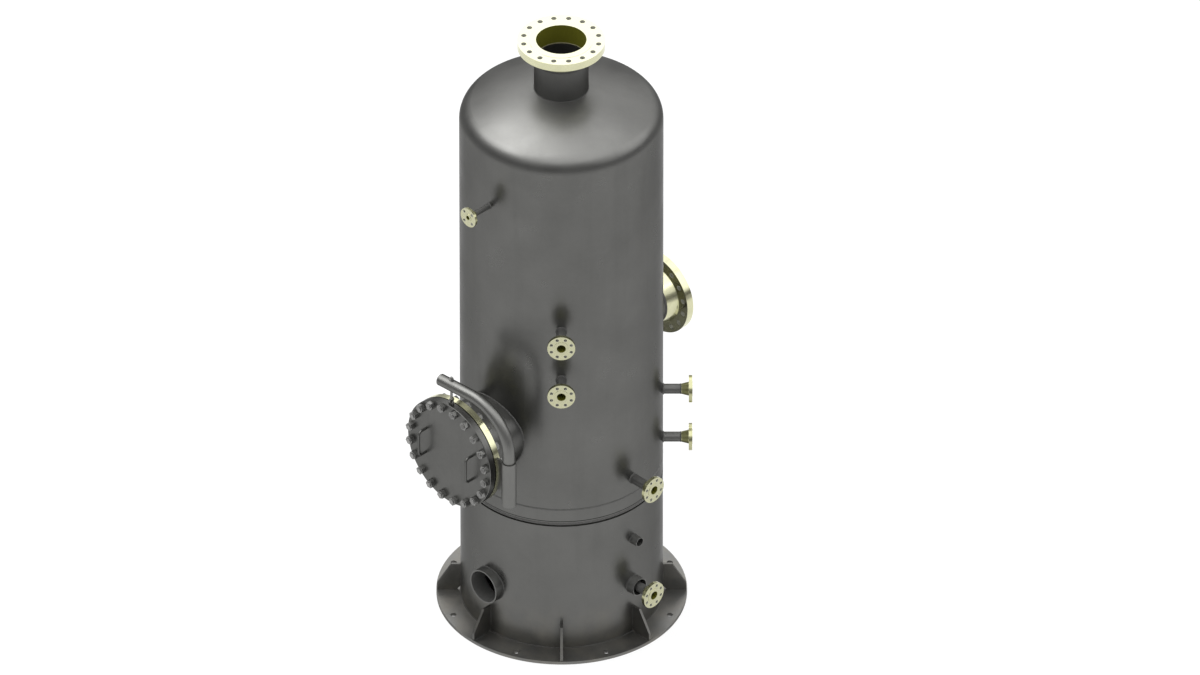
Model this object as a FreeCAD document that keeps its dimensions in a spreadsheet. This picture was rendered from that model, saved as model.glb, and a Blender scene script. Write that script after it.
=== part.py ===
import FreeCAD, Part
import math
import os

import Sketcher

# Knockout drum: a standing vessel that takes the liquid out of a gas stream. A rolled shell with
# two dished heads stands on a skirt. The gas comes in at the side, turns at a deflector, rises
# through a wire mesh pad and leaves at the top; the liquid drains through the bottom head.
#
# Frame: +Z up, origin on the vessel's axis at the underside of the base ring. Lengths are in
# millimetres. Azimuths are in degrees from +X, counter-clockwise seen from above.

# The driving dimensions: a word, its number and what it measures.
SIZES = [
    ("vessel_od", 1210, "outside of shell, head and skirt"),
    ("shell_wall", 10, "plate of the shell"),
    ("head_wall", 10, "plate of the dished heads"),
    ("crown_radius", 1210, "outside radius of a head's crown"),
    ("knuckle_radius", 121, "outside radius of a head's knuckle"),
    ("head_straight", 80, "cylindrical part of a head up to the seam"),
    ("tangent_low", 950, "height of the bottom head's tangent line"),
    ("tangent_length", 2500, "from tangent line to tangent line"),

    ("skirt_wall", 8, "plate of the skirt"),
    ("base_reach", 145, "from the skirt's outside out to the base ring's rim"),
    ("base_inset", 55, "from the skirt's outside in to the base ring's inside"),
    ("base_thickness", 20, "plate of the base ring"),
    ("anchor_edge", 50, "from the base ring's rim in to the anchor bolts"),
    ("anchor_hole", 36, "hole for an anchor bolt"),
    ("anchor_count", 8, "number of anchor bolts"),
    ("gusset_thickness", 16, "plate of a gusset"),
    ("gusset_inset", 5, "from the base ring's rim back to a gusset"),
    ("gusset_height", 185, "height of a gusset on the base ring"),
    ("gusset_top", 55, "width of a gusset at its top"),
    ("gusset_toe", 46, "height of a gusset's outer edge"),
    ("gusset_snipe", 25, "corner cut off over the skirt's weld"),
    ("access_azimuth", 225, "skirt's access opening"),
    ("access_level", 368, "height of the access opening's axis"),
    ("access_od", 219.1, "outside of the access collar"),
    ("access_wall", 8.2, "wall of the access collar"),
    ("access_inside", 50, "access collar inside the skirt"),
    ("collar_reach", 55, "from the skirt's outside out to the end of its collars"),
    ("skirt_vent_azimuth", 315, "first skirt vent; the second is opposite"),
    ("skirt_vent_drop", 256, "from the bottom tangent line down to a skirt vent's axis"),
    ("sleeve_od", 114.3, "outside of the drain's sleeve"),
    ("sleeve_wall", 6, "wall of the drain's sleeve"),

    ("large_pipe_od", 323.9, "pipe of gas inlet and gas outlet"),
    ("large_pipe_wall", 12.7, "its wall"),
    ("large_flange_od", 520.7, "its flange"),
    ("large_flange_thickness", 50.8, "its flange's disc"),
    ("large_hub_od", 374.6, "its hub behind the disc"),
    ("large_hub_length", 130, "its flange's whole length"),
    ("large_bolt_edge", 34.95, "from its rim in to its bolts"),
    ("large_bolt_hole", 31.8, "its bolt hole"),
    ("large_bolt_count", 16, "its number of bolts"),
    ("large_raised_od", 381, "its raised face"),

    ("small_pipe_od", 60.3, "pipe of instrument, utility and drain nozzles"),
    ("small_pipe_wall", 3.9, "its wall"),
    ("small_flange_od", 165.1, "its flange"),
    ("small_flange_thickness", 22.4, "its flange's disc"),
    ("small_hub_od", 84.1, "its hub behind the disc"),
    ("small_hub_length", 70, "its flange's whole length"),
    ("small_bolt_edge", 19.05, "from its rim in to its bolts"),
    ("small_bolt_hole", 19, "its bolt hole"),
    ("small_bolt_count", 8, "its number of bolts"),
    ("small_raised_od", 92.1, "its raised face"),

    ("tap_pipe_od", 33.4, "pipe of the pressure tap"),
    ("tap_pipe_wall", 3.4, "its wall"),
    ("tap_flange_od", 124, "its flange"),
    ("tap_flange_thickness", 17.5, "its flange's disc"),
    ("tap_hub_od", 53.8, "its hub behind the disc"),
    ("tap_hub_length", 62, "its flange's whole length"),
    ("tap_bolt_edge", 17.55, "from its rim in to its bolts"),
    ("tap_bolt_hole", 19, "its bolt hole"),
    ("tap_bolt_count", 4, "its number of bolts"),
    ("tap_raised_od", 50.8, "its raised face"),
    ("raised_height", 1.6, "height of a nozzle flange's raised face"),

    ("outlet_height", 563, "from the top tangent line up to the gas outlet's face"),
    ("outlet_inside", 8, "gas outlet's pipe below the crown's inside"),
    ("inlet_azimuth", 45, "gas inlet"),
    ("inlet_rise", 835, "from the bottom tangent line up to the gas inlet's axis"),
    ("inlet_reach", 247, "from the shell's outside out to the gas inlet's face"),
    ("nozzle_reach", 175, "from the shell's outside out to the small nozzles' faces"),
    ("tap_azimuth", 225, "pressure tap"),
    ("tap_drop", 337, "from the top tangent line down to the pressure tap's axis"),
    ("gauge_azimuth", 270, "pair of nozzles for the level gauge"),
    ("gauge_rise", 1026, "from the bottom tangent line up to the pair's lower axis"),
    ("switch_azimuth", 0, "pair of nozzles for the level switch"),
    ("switch_rise", 185, "from the bottom tangent line up to the pair's lower axis"),
    ("pair_spacing", 350, "between the two axes of a pair"),
    ("utility_azimuth", 315, "utility nozzle"),
    ("utility_rise", 185, "from the bottom tangent line up to the utility nozzle's axis"),
    ("drain_azimuth", 315, "drain pipe through the skirt"),
    ("drain_level", 365, "height of the drain pipe's axis"),
    ("drain_bend", 76.2, "centre-line radius of the drain's elbow"),

    ("manway_azimuth", 225, "manway"),
    ("manway_rise", 535, "from the bottom tangent line up to the manway's axis"),
    ("manway_reach", 292, "from the shell's outside out to the manway flange's face"),
    ("neck_od", 484, "outside of the manway's neck"),
    ("neck_wall", 12, "plate of the neck"),
    ("neck_setback", 8, "from the flange's face back to the neck's end"),
    ("neck_clearance", 0.3, "between neck and flange, all round"),
    ("manway_flange_thickness", 42.9, "disc of the manway flange"),
    ("manway_hub_wall", 23, "from the neck's outside out to the hub's, behind the disc"),
    ("manway_hub_length", 76, "whole length of the manway flange"),
    ("manway_bolt_seat", 52.5, "from the hub's outside out to the circle of the studs"),
    ("manway_bolt_edge", 31.75, "from that circle out to the rim of flange and cover"),
    ("manway_bolt_count", 20, "number of studs"),
    ("manway_raised_edge", 25.5, "from that circle in to the rim of raised faces and gasket"),
    ("manway_raised_height", 2, "height of a raised face"),
    ("gasket_edge", 12, "from the neck's outside out to the gasket's inside"),
    ("gasket_thickness", 3, "gasket"),
    ("cover_thickness", 42.9, "cover"),
    ("cover_chamfer", 3, "edge broken at the cover's rim"),
    ("stud_od", 28.6, "stud"),
    ("stud_clearance", 1.6, "between a stud and its hole, all round"),
    ("stud_overhang", 5, "stud beyond its nut"),
    ("nut_flats", 46, "heavy nut across its flats"),
    ("nut_height", 27, "heavy nut"),
    ("nut_clearance", 0.1, "between nut and stud, all round"),

    ("handle_spacing", 394, "between the two handles"),
    ("handle_length", 170, "from leg to leg"),
    ("handle_standoff", 58, "from the cover out to the grip's centre line"),
    ("handle_od", 16, "round bar of a handle"),
    ("handle_bend", 25, "centre-line radius of a handle's bend"),

    ("davit_od", 73, "pipe of the davit"),
    ("davit_wall", 5.2, "its wall"),
    ("davit_gap", 65, "from the cover's rim to the davit's socket"),
    ("davit_forward", 44, "from the manway flange's back out to the davit's mast"),
    ("davit_rise", 488, "from the manway's axis up to the davit's arm"),
    ("davit_bend", 300, "centre-line radius of the davit's bend"),
    ("davit_overrun", 85, "arm beyond the eye bolt"),
    ("davit_cap", 6, "cap on the arm's end"),
    ("socket_wall", 5.5, "wall of the davit's socket"),
    ("socket_clearance", 2.45, "between socket and davit, all round"),
    ("socket_drop", 160, "from the manway's axis down to the socket's foot"),
    ("socket_length", 306, "whole socket"),
    ("socket_floor", 10, "plate at the socket's foot"),
    ("socket_drain", 12, "drain hole in that plate"),
    ("bracket_thickness", 16, "plate between socket and manway flange"),
    ("bracket_forward", 12, "from the manway flange's back out to that plate"),
    ("bracket_height", 220, "height of that plate"),

    ("eye_bar", 12, "round bar of the eye"),
    ("eye_radius", 15, "centre-line radius of the eye"),
    ("eye_shank", 16, "shank of the eye bolt"),
    ("eye_hole_clearance", 1, "between shank and davit, all round"),
    ("eye_thread", 7, "shank above its nut"),
    ("eye_nut_flats", 24, "nut of the eye bolt"),
    ("eye_nut_height", 14, "nut of the eye bolt"),
    ("lug_thickness", 10, "lifting lug on the cover's rim"),
    ("lug_width", 38, "lifting lug"),
    ("lug_hole", 20, "hole in the lug"),
    ("lug_rise", 14, "from the cover's rim to the hole's centre"),
    ("lug_gap", 0.8, "between the eye and the hole's top"),

    ("ring_drop", 570, "from the top tangent line down to the underside of the mesh pad's ring"),
    ("ring_width", 50, "support ring"),
    ("ring_thickness", 10, "support ring"),
    ("pad_clearance", 5, "between mesh pad or grid and the shell"),
    ("pad_height", 150, "mesh pad"),
    ("grid_height", 25, "flat bars of a grid"),
    ("grid_bar", 5, "thickness of a grid's flat bars"),
    ("grid_rim", 8, "thickness of a grid's rim"),
    ("grid_pitch", 95, "between a grid's flat bars"),
    ("grid_count", 11, "number of flat bars in a grid"),
    ("deflector_od", 480, "half pipe in front of the gas inlet"),
    ("deflector_wall", 8, "its plate"),
    ("deflector_height", 560, "its height"),
    ("breaker_width", 180, "vortex breaker over the drain"),
    ("breaker_height", 100, "its wings"),
    ("breaker_plate", 8, "its plates"),
]

GUSSET_COUNT = 8
FULL_TURN = 360
HOLE_RUN = 260          # length of the solids that cut a nozzle's way through a plate

doc = FreeCAD.newDocument("knockout_drum")
sheet = doc.addObject("Spreadsheet::Sheet", "Sizes")
for row, (alias, number, meaning) in enumerate(SIZES, start=1):
    sheet.set(f"A{row}", alias)
    sheet.set(f"B{row}", str(number))
    sheet.set(f"C{row}", meaning)
    sheet.setAlias(f"B{row}", alias)
doc.recompute()


class Size:
    """A length, angle or count: its number now, and the formula that ties it to the sheet."""

    def __init__(self, value, formula):
        self.value = value
        self.formula = formula

    def __add__(self, other):
        other = as_size(other)
        return Size(self.value + other.value, f"({self.formula} + {other.formula})")

    def __sub__(self, other):
        other = as_size(other)
        return Size(self.value - other.value, f"({self.formula} - {other.formula})")

    def __mul__(self, other):
        other = as_size(other)
        return Size(self.value * other.value, f"({self.formula} * {other.formula})")

    def __truediv__(self, other):
        other = as_size(other)
        return Size(self.value / other.value, f"({self.formula} / {other.formula})")

    def __neg__(self):
        return self * -1


def as_size(number):
    return number if isinstance(number, Size) else Size(number, str(number))


def root(size):
    return Size(math.sqrt(size.value), f"sqrt({size.formula})")


def cosine(angle):
    return Size(math.cos(math.radians(angle.value)), f"cos({angle.formula})")


def sine(angle):
    return Size(math.sin(math.radians(angle.value)), f"sin({angle.formula})")


def angle_of(rise, run):
    """The angle whose tangent is rise over run, in degrees."""
    slope = rise / run
    return Size(math.degrees(math.atan(slope.value)), f"(atan({slope.formula}) / 1 deg)")


def leg(long_side, other_side):
    """The third side of a right-angled triangle."""
    return root(long_side * long_side - other_side * other_side)


def size(alias):
    return Size(float(sheet.get(alias)), f"Sizes.{alias}")


def bind(item, name, value):
    """Tie a property to the sheet."""
    item.setExpression(name, as_size(value).formula)


ZERO = Size(0, "0")
Z_AXIS = FreeCAD.Vector(0, 0, 1)
finished = []


def finish(item, label):
    """Name a finished sub-part."""
    item.Label = label
    finished.append(item)
    return item


def new_body(name):
    return doc.addObject("PartDesign::Body", name)


def place(item, azimuth=ZERO, level=ZERO, along=ZERO, across=ZERO, facing=None):
    """Turn a piece to its azimuth and lift it to its level.

    along and across shift it in plan, along the azimuth and at right angles to it. facing turns
    the piece to another azimuth than that of the shift.
    """
    facing = facing or azimuth
    east = along * cosine(azimuth) - across * sine(azimuth)
    north = along * sine(azimuth) + across * cosine(azimuth)
    item.Placement = FreeCAD.Placement(
        FreeCAD.Vector(east.value, north.value, level.value),
        FreeCAD.Rotation(Z_AXIS, facing.value))
    bind(item, "Placement.Base.x", east)
    bind(item, "Placement.Base.y", north)
    bind(item, "Placement.Base.z", level)
    bind(item, "Placement.Rotation.Angle", facing)


def new_sketch(body, name, role, offset=ZERO):
    """A sketch on one of the body's own planes, or beside it."""
    plane = next(item for item in body.Origin.OriginFeatures if item.Role == role)
    sketch = body.newObject("Sketcher::SketchObject", f"{body.Name}_{name}")
    sketch.AttachmentSupport = (plane, [""])
    sketch.MapMode = "FlatFace"
    sketch.AttachmentOffset.Base.z = offset.value
    bind(sketch, "AttachmentOffset.Base.z", offset)
    return sketch


def fix(sketch, kind, where, value):
    """Add a dimension and tie it to the sheet."""
    value = as_size(value)
    index = sketch.addConstraint(Sketcher.Constraint(kind, *where, value.value))
    sketch.setExpression(f"Constraints[{index}]", value.formula)


def fix_point(sketch, edge, end, point):
    fix(sketch, "DistanceX", (-1, 1, edge, end), point[0])
    fix(sketch, "DistanceY", (-1, 1, edge, end), point[1])


def add_circle(sketch, centre, diameter):
    middle = FreeCAD.Vector(centre[0].value, centre[1].value, 0)
    edge = sketch.addGeometry(Part.Circle(middle, Z_AXIS, diameter.value / 2), False)
    fix(sketch, "Diameter", (edge,), diameter)
    fix_point(sketch, edge, 3, centre)


def add_arc(sketch, first, last, radius, side):
    """The short arc between two points; side is +1 with its centre on the left, else -1.

    Returns the edge and the numbers of its first and last ends.
    """
    begin = FreeCAD.Vector(first[0].value, first[1].value, 0)
    end = FreeCAD.Vector(last[0].value, last[1].value, 0)
    chord = end - begin
    to_left = FreeCAD.Vector(-chord.y, chord.x, 0).normalize()
    height = math.sqrt(max(radius.value ** 2 - (chord.Length / 2) ** 2, 0))
    centre = (begin + end) * 0.5 + to_left * (side * height)
    angle_begin = math.atan2(begin.y - centre.y, begin.x - centre.x)
    angle_end = math.atan2(end.y - centre.y, end.x - centre.x)
    circle = Part.Circle(centre, Z_AXIS, radius.value)
    if side > 0:
        edge = sketch.addGeometry(Part.ArcOfCircle(circle, angle_begin, angle_end), False)
        ends = (1, 2)
    else:
        edge = sketch.addGeometry(Part.ArcOfCircle(circle, angle_end, angle_begin), False)
        ends = (2, 1)
    fix(sketch, "Radius", (edge,), radius)
    return edge, *ends


def add_outline(sketch, points, arcs=None, closed=True):
    """Draw edges from point to point. arcs: {number of the edge: (radius, side)}."""
    arcs = arcs or {}
    count = len(points) if closed else len(points) - 1
    edges = []
    for number in range(count):
        first, last = points[number], points[(number + 1) % len(points)]
        if number in arcs:
            radius, side = arcs[number]
            edges.append(add_arc(sketch, first, last, radius, side))
        else:
            line = Part.LineSegment(FreeCAD.Vector(first[0].value, first[1].value, 0),
                                    FreeCAD.Vector(last[0].value, last[1].value, 0))
            edges.append((sketch.addGeometry(line, False), 1, 2))
    for number, (edge, begin, end) in enumerate(edges):
        fix_point(sketch, edge, begin, points[number])
        if closed or number < count - 1:
            follower = edges[(number + 1) % count]
            joint = Sketcher.Constraint("Coincident", edge, end, follower[0], follower[1])
            sketch.addConstraint(joint)
    if not closed:
        fix_point(sketch, edges[-1][0], edges[-1][2], points[-1])


def turn(body, sketch, axis, angle=FULL_TURN):
    """Revolve a sketch round one of its own axes; a negative angle turns it the other way."""
    turned = body.newObject("PartDesign::Revolution", f"{sketch.Name}_turned")
    turned.Profile = sketch
    turned.ReferenceAxis = (sketch, [axis])
    turned.Angle = abs(angle)
    turned.Reversed = angle < 0
    return turned


def extrude(body, sketch, length):
    pad = body.newObject("PartDesign::Pad", f"{sketch.Name}_pad")
    pad.Profile = sketch
    pad.Length = length.value
    bind(pad, "Length", length)
    return pad


def cut_in(body, sketch, length):
    """Cut a sketch into the body, against the sketch's normal, and see that metal went."""
    doc.recompute()
    before = body.Shape.Volume
    pocket = body.newObject("PartDesign::Pocket", f"{sketch.Name}_pocket")
    pocket.Profile = sketch
    pocket.Length = length.value
    bind(pocket, "Length", length)
    doc.recompute()
    if body.Shape.Volume >= before:
        raise RuntimeError(f"{pocket.Name} cuts nothing")
    return pocket


def repeat_round(body, feature, sketch, count):
    """Repeat a feature round the sketch's normal."""
    pattern = body.newObject("PartDesign::PolarPattern", f"{feature.Name}_ring")
    pattern.Originals = [feature]
    pattern.Axis = (sketch, ["N_Axis"])
    pattern.Angle = FULL_TURN
    pattern.Occurrences = int(count.value)
    bind(pattern, "Occurrences", count)
    body.Tip = pattern
    return pattern


def drill_ring(body, role, face, depth, circle, hole, count):
    """A ring of holes from a face down, the first half a pitch off the plane's first axis."""
    sketch = new_sketch(body, "holes", role, face)
    half_pitch = as_size(FULL_TURN / 2) / count
    centre = (circle / 2 * cosine(half_pitch), circle / 2 * sine(half_pitch))
    add_circle(sketch, centre, hole)
    pocket = cut_in(body, sketch, depth)
    repeat_round(body, pocket, sketch, count)


def tube_along_x(name, start, end, outer, inner=None):
    """A round bar or tube about the body's X axis; nozzles are built this way."""
    body = new_body(name)
    sketch = new_sketch(body, "section", "XZ_Plane")
    low = inner / 2 if inner else ZERO
    add_outline(sketch, [(start, low), (end, low), (end, outer / 2), (start, outer / 2)])
    turn(body, sketch, "H_Axis")
    return body


def tube_along_z(name, low, high, outer, inner=None):
    """A ring, disc or tube about the vessel's axis."""
    body = new_body(name)
    sketch = new_sketch(body, "section", "XZ_Plane")
    inside = inner / 2 if inner else ZERO
    add_outline(sketch, [(inside, low), (outer / 2, low), (outer / 2, high), (inside, high)])
    turn(body, sketch, "V_Axis")
    return body


def subtract(label, base, tools):
    """The base with the tools taken out, as a finished sub-part."""
    tool = tools[0]
    if len(tools) > 1:
        tool = doc.addObject("Part::MultiFuse", f"{label}_openings")
        tool.Shapes = tools
    result = doc.addObject("Part::Cut", f"{label}_cut")
    result.Base = base
    result.Tool = tool
    return finish(result, label)


def keep_common(name, base, tool):
    result = doc.addObject("Part::Common", name)
    result.Base = base
    result.Tool = tool
    return result


def bent_bar(name, route, bends, first_plane, outer, inner=None, side=ZERO):
    """A round bar or pipe along a route in the body's XZ plane whose corners are square.

    route: (x, z) corners. bends: a radius for each inner corner. side shifts the whole bar
    along the body's Y axis. The section is drawn on first_plane at the route's start.
    """
    body = new_body(name)
    points = [route[0]]
    arcs = {}
    for before, corner, after, radius in zip(route, route[1:], route[2:], bends):
        into = unit_step(before, corner)
        out_of = unit_step(corner, after)
        arcs[len(points)] = (radius, 1 if into[0] * out_of[1] - into[1] * out_of[0] > 0 else -1)
        points.append((corner[0] - radius * into[0], corner[1] - radius * into[1]))
        points.append((corner[0] + radius * out_of[0], corner[1] + radius * out_of[1]))
    points.append(route[-1])
    spine = new_sketch(body, "route", "XZ_Plane", -side)
    add_outline(spine, points, arcs, closed=False)
    if first_plane == "XY_Plane":
        section = new_sketch(body, "section", first_plane, route[0][1])
        centre = (route[0][0], side)
    else:
        section = new_sketch(body, "section", first_plane, route[0][0])
        centre = (side, route[0][1])
    add_circle(section, centre, outer)
    if inner:
        add_circle(section, centre, inner)
    swept = body.newObject("PartDesign::AdditivePipe", f"{name}_swept")
    swept.Profile = section
    swept.Spine = spine
    return body


def unit_step(begin, end):
    """The direction of a run that is level or upright, as whole numbers."""
    across = end[0].value - begin[0].value
    up = end[1].value - begin[1].value
    if abs(across) > abs(up):
        return (1 if across > 0 else -1, 0)
    return (0, 1 if up > 0 else -1)


# Radii and heights that several pieces share.
vessel_radius = size("vessel_od") / 2
shell_inside = vessel_radius - size("shell_wall")
skirt_inside = vessel_radius - size("skirt_wall")
tangent_low = size("tangent_low")
tangent_high = tangent_low + size("tangent_length")
seam_low = tangent_low + size("head_straight")
seam_high = tangent_high - size("head_straight")
base_rim = vessel_radius + size("base_reach")
base_top = size("base_thickness")
nozzle_end = vessel_radius + size("nozzle_reach")
collar_end = vessel_radius + size("collar_reach")
inlet_level = tangent_low + size("inlet_rise")

# A dished head: the knuckle's centre lies on the tangent line, the crown's on the axis.
knuckle_centre = vessel_radius - size("knuckle_radius")
crown_arm = size("crown_radius") - size("knuckle_radius")
crown_drop = leg(crown_arm, knuckle_centre)
crown_inside = size("crown_radius") - size("head_wall")

# The skirt's inner edge meets the bottom head's knuckle here.
skirt_top = tangent_low - leg(size("knuckle_radius"), skirt_inside - knuckle_centre)


def crown_height(radius_here, crown):
    """Height above the tangent line of a crown's surface at a distance from the axis."""
    return leg(crown, radius_here) - crown_drop


def dished_head(name, tangent, up, opening):
    """A dished head with a straight skirt; up is +1 for the top head and -1 for the bottom."""
    body = new_body(name)
    sketch = new_sketch(body, "section", "XZ_Plane")
    wall = size("head_wall")
    crown = size("crown_radius")
    knuckle = size("knuckle_radius")
    share = knuckle_centre / crown_arm
    rise = crown_drop / crown_arm
    seam = tangent - size("head_straight") * up
    radius = opening / 2

    def at(radius_here, height):
        return (radius_here, tangent + height * up)

    points = [
        (vessel_radius, seam),
        (vessel_radius, tangent),
        at(crown * share, crown * rise - crown_drop),
        at(radius, crown_height(radius, crown)),
        at(radius, crown_height(radius, crown_inside)),
        at(crown_inside * share, crown_inside * rise - crown_drop),
        (vessel_radius - wall, tangent),
        (vessel_radius - wall, seam),
    ]
    arcs = {1: (knuckle, up), 2: (crown, up),
            4: (crown_inside, -up), 5: (knuckle - wall, -up)}
    add_outline(sketch, points, arcs)
    turn(body, sketch, "V_Axis")
    return finish(body, name)


def flange(name, family, face):
    """A weld-neck flange about the body's X axis with its face at the given distance."""
    body = new_body(name)
    bore = size(f"{family}_pipe_od") / 2 - size(f"{family}_pipe_wall")
    disc = size(f"{family}_flange_od") / 2
    back = face - size(f"{family}_flange_thickness")
    end = face - size(f"{family}_hub_length")
    raised = size(f"{family}_raised_od") / 2
    step = face - size("raised_height")
    sketch = new_sketch(body, "section", "XZ_Plane")
    add_outline(sketch, [
        (end, bore), (face, bore), (face, raised), (step, raised), (step, disc), (back, disc),
        (back, size(f"{family}_hub_od") / 2), (end, size(f"{family}_pipe_od") / 2)])
    turn(body, sketch, "H_Axis")
    drill_ring(body, "YZ_Plane", step, size(f"{family}_flange_thickness"),
               (disc - size(f"{family}_bolt_edge")) * 2, size(f"{family}_bolt_hole"),
               size(f"{family}_bolt_count"))
    return body


# Round solids that stand for the vessel's and the skirt's insides: pieces end flush with them.
vessel_cavity = tube_along_z("vessel_cavity", base_top, tangent_high, shell_inside * 2)
skirt_cavity = tube_along_z("skirt_cavity", ZERO, tangent_low, skirt_inside * 2)

shell_openings = []
skirt_openings = []


def opening_for(name, outer, azimuth, level, openings):
    """The way that a nozzle's pipe needs through a round plate."""
    tool = tube_along_x(f"{name}_opening", vessel_radius - HOLE_RUN / 2,
                        vessel_radius + HOLE_RUN / 2, outer)
    place(tool, azimuth, level)
    openings.append(tool)


def pipe_in_plate(name, end, outer, wall, azimuth, level, cavity, openings):
    """A pipe from a round plate's inside out to the given distance."""
    start = vessel_radius - HOLE_RUN / 2
    pipe = tube_along_x(f"{name}_blank", start, end, outer, outer - wall * 2)
    place(pipe, azimuth, level)
    opening_for(name, outer, azimuth, level, openings)
    return subtract(name, pipe, [cavity])


def side_nozzle(name, family, azimuth, level, reach):
    """A pipe through the shell's wall with a flange welded to its end."""
    pipe_in_plate(f"{name}_pipe", reach - size(f"{family}_hub_length"),
                  size(f"{family}_pipe_od"), size(f"{family}_pipe_wall"), azimuth, level,
                  vessel_cavity, shell_openings)
    body = flange(f"{name}_flange", family, reach)
    place(body, azimuth, level)
    finish(body, f"{name}_flange")


def make_side_nozzles():
    spacing = size("pair_spacing")
    side_nozzle("gas_inlet", "large", size("inlet_azimuth"), inlet_level,
                vessel_radius + size("inlet_reach"))
    side_nozzle("pressure_tap", "tap", size("tap_azimuth"), tangent_high - size("tap_drop"),
                nozzle_end)
    for pair in ("gauge", "switch"):
        azimuth = size(f"{pair}_azimuth")
        lower = tangent_low + size(f"{pair}_rise")
        side_nozzle(f"level_{pair}_lower", "small", azimuth, lower, nozzle_end)
        side_nozzle(f"level_{pair}_upper", "small", azimuth, lower + spacing, nozzle_end)
    side_nozzle("utility", "small", size("utility_azimuth"), tangent_low + size("utility_rise"),
                nozzle_end)


def make_gas_outlet():
    """The gas outlet stands on the top head; its flange is built lying down and turned up."""
    face = tangent_high + size("outlet_height")
    outer = size("large_pipe_od")
    bore = outer - size("large_pipe_wall") * 2
    low = tangent_high + crown_height(outer / 2, crown_inside) - size("outlet_inside")
    pipe = tube_along_z("gas_outlet_pipe", low, face - size("large_hub_length"), outer, bore)
    finish(pipe, "gas_outlet_pipe")
    body = flange("gas_outlet_flange", "large", face)
    body.Placement = FreeCAD.Placement(
        FreeCAD.Vector(0, 0, 0), FreeCAD.Rotation(FreeCAD.Vector(0, -1, 0), 90))
    finish(body, "gas_outlet_flange")


def make_drain():
    """The drain leaves the bottom head, turns in an elbow and runs out through the skirt."""
    azimuth = size("drain_azimuth")
    level = size("drain_level")
    bend = size("drain_bend")
    outer = size("small_pipe_od")
    bore = outer - size("small_pipe_wall") * 2
    top = tangent_low - crown_height(ZERO, crown_inside)
    finish(tube_along_z("drain_drop_pipe", level + bend, top, outer, bore), "drain_drop_pipe")
    elbow = new_body("drain_elbow")
    sketch = new_sketch(elbow, "section", "XY_Plane")
    add_circle(sketch, (-bend, ZERO), outer)
    add_circle(sketch, (-bend, ZERO), bore)
    turn(elbow, sketch, "V_Axis", -FULL_TURN / 4)
    place(elbow, azimuth, level + bend, along=bend)
    finish(elbow, "drain_elbow")
    end = nozzle_end - size("small_hub_length")
    run = tube_along_x("drain_run_pipe", bend, end, outer, bore)
    place(run, azimuth, level)
    finish(run, "drain_run_pipe")
    body = flange("drain_flange", "small", nozzle_end)
    place(body, azimuth, level)
    finish(body, "drain_flange")
    pipe_in_plate("drain_sleeve", collar_end, size("sleeve_od"), size("sleeve_wall"),
                  azimuth, level, skirt_cavity, skirt_openings)


def make_skirt():
    """The skirt on its base ring, with its access collar and two vents."""
    outer = size("access_od")
    azimuth = size("access_azimuth")
    level = size("access_level")
    collar = tube_along_x("skirt_access_collar", skirt_inside - size("access_inside"), collar_end,
                          outer, outer - size("access_wall") * 2)
    place(collar, azimuth, level)
    opening_for("skirt_access_collar", outer, azimuth, level, skirt_openings)
    finish(collar, "skirt_access_collar")
    first = size("skirt_vent_azimuth")
    for name, azimuth in (("skirt_vent_front", first),
                          ("skirt_vent_rear", first - as_size(FULL_TURN / 2))):
        pipe_in_plate(name, collar_end, size("small_pipe_od"), size("small_pipe_wall"), azimuth,
                      tangent_low - size("skirt_vent_drop"), skirt_cavity, skirt_openings)
    rolled = tube_along_z("skirt_rolled", base_top, skirt_top, vessel_radius * 2,
                          skirt_inside * 2)
    subtract("skirt", rolled, skirt_openings)
    ring = tube_along_z("base_ring", ZERO, base_top, base_rim * 2,
                        (vessel_radius - size("base_inset")) * 2)
    drill_ring(ring, "XY_Plane", base_top, base_top, (base_rim - size("anchor_edge")) * 2,
               size("anchor_hole"), size("anchor_count"))
    finish(ring, "base_ring")


def make_gusset(number):
    body = new_body(f"gusset_{number}")
    outer = base_rim - size("gusset_inset")
    top = base_top + size("gusset_height")
    snipe = size("gusset_snipe")
    thickness = size("gusset_thickness")
    sketch = new_sketch(body, "outline", "XZ_Plane", -thickness / 2)
    add_outline(sketch, [
        (vessel_radius + snipe, base_top),
        (outer, base_top),
        (outer, base_top + size("gusset_toe")),
        (vessel_radius + size("gusset_top"), top),
        (vessel_radius, top),
        (vessel_radius, base_top + snipe)])
    extrude(body, sketch, thickness)
    place(body, as_size(number * FULL_TURN / GUSSET_COUNT))
    finish(body, f"gusset_{number}")


# The manway's planes, as distances from the vessel's axis along the manway's own axis.
manway_azimuth = size("manway_azimuth")
manway_level = tangent_low + size("manway_rise")
manway_face = vessel_radius + size("manway_reach")
manway_back = manway_face - size("manway_flange_thickness")
cover_back = manway_face + size("gasket_thickness")
cover_front = cover_back + size("cover_thickness")
cover_middle = (cover_back + cover_front) / 2

# Its radii, from the neck outwards.
manway_hub = size("neck_od") / 2 + size("manway_hub_wall")
stud_radius = manway_hub + size("manway_bolt_seat")
raised_radius = stud_radius - size("manway_raised_edge")
manway_rim = stud_radius + size("manway_bolt_edge")
stud_hole = size("stud_od") + size("stud_clearance") * 2

# The davit's mast stands beside the flange.
socket_inside = size("davit_od") + size("socket_clearance") * 2
socket_od = socket_inside + size("socket_wall") * 2
mast_along = manway_back + size("davit_forward")
mast_across = manway_rim + size("davit_gap") + socket_od / 2
mast_to_cover = cover_middle - mast_along
arm_level = manway_level + size("davit_rise")
arm_to_eye = root(mast_to_cover * mast_to_cover + mast_across * mast_across)
arm_azimuth = manway_azimuth - angle_of(mast_across, mast_to_cover)
lug_hole_level = manway_level + manway_rim + size("lug_rise")


def stand_on_mast(item):
    """Put a piece of the davit on the mast's axis, with its X axis along the davit's arm."""
    place(item, manway_azimuth, along=mast_along, across=mast_across, facing=arm_azimuth)


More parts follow.
